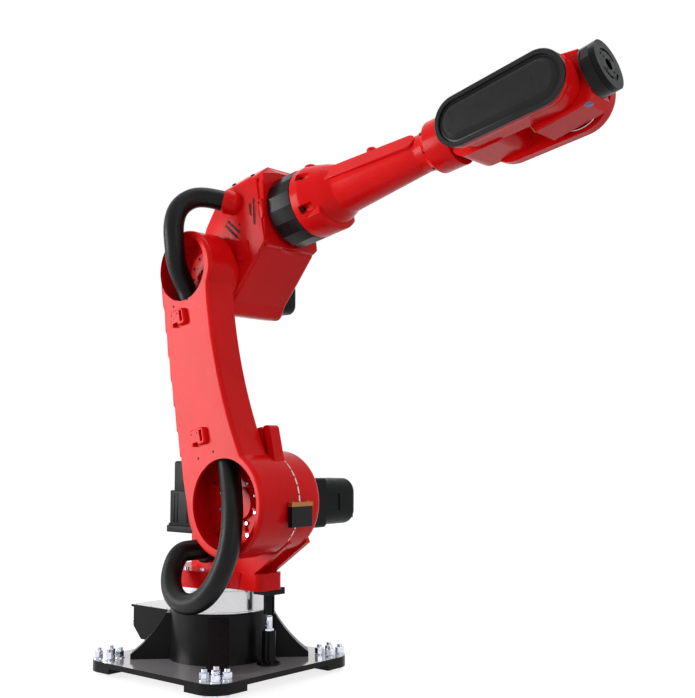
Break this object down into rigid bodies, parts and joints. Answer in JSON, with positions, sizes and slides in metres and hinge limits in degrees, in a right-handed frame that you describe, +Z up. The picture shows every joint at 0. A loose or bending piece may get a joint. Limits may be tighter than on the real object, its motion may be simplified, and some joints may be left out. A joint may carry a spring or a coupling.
{
  "type": "industrial robot arm",
  "caption": "Floor-mounted articulated industrial robot arm with a turret, leaning upper arm, long tapered forearm, tilting wrist and tool flange.",
  "frame": {"origin": "on the first axis (turret axis), at floor level, where the tips of the anchor studs end", "axes": "+Z up along the first axis, +X forward, where the forearm points at rest, +Y to the left"},
  "size_m": [1.7406, 0.6231, 1.704],
  "materials": {
    "red_paint": "gloss",
    "black_paint": "gloss",
    "motor_black": "satin",
    "black_plastic": "satin",
    "bronze_plate": "satin",
    "hose_rubber": "satin",
    "bright_steel": "satin",
    "zinc_steel": "satin"
  },
  "bodies": {
    "base": {"base_plate": "black_paint", "anchor_studs": "zinc_steel", "base_casting": "black_paint", "connector_box": "black_paint", "base_bearing_ring": "bright_steel", "stop_post": "black_paint", "stop_plunger": "zinc_steel"},
    "turret": {"turret_casting": "red_paint", "stop_sleeve": "black_paint", "shoulder_bearing_ring": "bright_steel", "shoulder_stop_rubber": "black_plastic", "shoulder_stop_plate": "bronze_plate", "turret_motor": "motor_black", "shoulder_motor": "motor_black", "turret_hose_gland": "black_plastic", "lower_hose": "hose_rubber"},
    "upper_arm": {"upper_arm": "red_paint", "shoulder_reducer": "red_paint", "elbow_reducer": "red_paint", "shoulder_stop_lug": "red_paint", "lower_hose_clamp": "red_paint", "upper_hose_clamp": "red_paint", "middle_hose": "hose_rubber", "upper_hose": "hose_rubber"},
    "elbow": {"elbow_casting": "red_paint", "elbow_motor": "motor_black", "elbow_hose_gland": "black_plastic", "forearm_drive_ring": "black_paint"},
    "forearm": {"forearm_tube": "red_paint", "wrist_fork": "red_paint", "wrist_cover": "black_plastic", "wrist_bearing_ring": "bright_steel"},
    "wrist": {"wrist_body": "red_paint", "tool_sleeve": "black_paint"},
    "tool_plate": {"tool_flange": "black_paint"}
  },
  "joints": [
    {"name": "turret_turn", "type": "hinge", "parent": "base", "child": "turret", "pos_m": [0, 0, 0.275], "axis": [0, 0, 1], "range_deg": [-155, 155]},
    {"name": "shoulder_lean", "type": "hinge", "parent": "turret", "child": "upper_arm", "pos_m": [0.27, 0, 0.54], "axis": [0, 1, 0], "range_deg": [-60, 50], "deforming": ["lower_hose"]},
    {"name": "elbow_lift", "type": "hinge", "parent": "upper_arm", "child": "elbow", "pos_m": [0.104, 0, 1.23], "axis": [0, -1, 0], "range_deg": [-65, 85], "deforming": ["upper_hose"]},
    {"name": "forearm_roll", "type": "hinge", "parent": "elbow", "child": "forearm", "pos_m": [0.34686, 0, 1.42923], "axis": [0.9822, 0, 0.1881], "range_deg": [-180, 180]},
    {"name": "wrist_tilt", "type": "hinge", "parent": "forearm", "child": "wrist", "pos_m": [1.23965, 0, 1.60018], "axis": [0, -1, 0], "range_deg": [-105, 94]},
    {"name": "tool_turn", "type": "hinge", "parent": "wrist", "child": "tool_plate", "pos_m": [1.36793, 0, 1.63891], "axis": [0.9573, 0, 0.289], "range_deg": [-360, 360]}
  ]
}
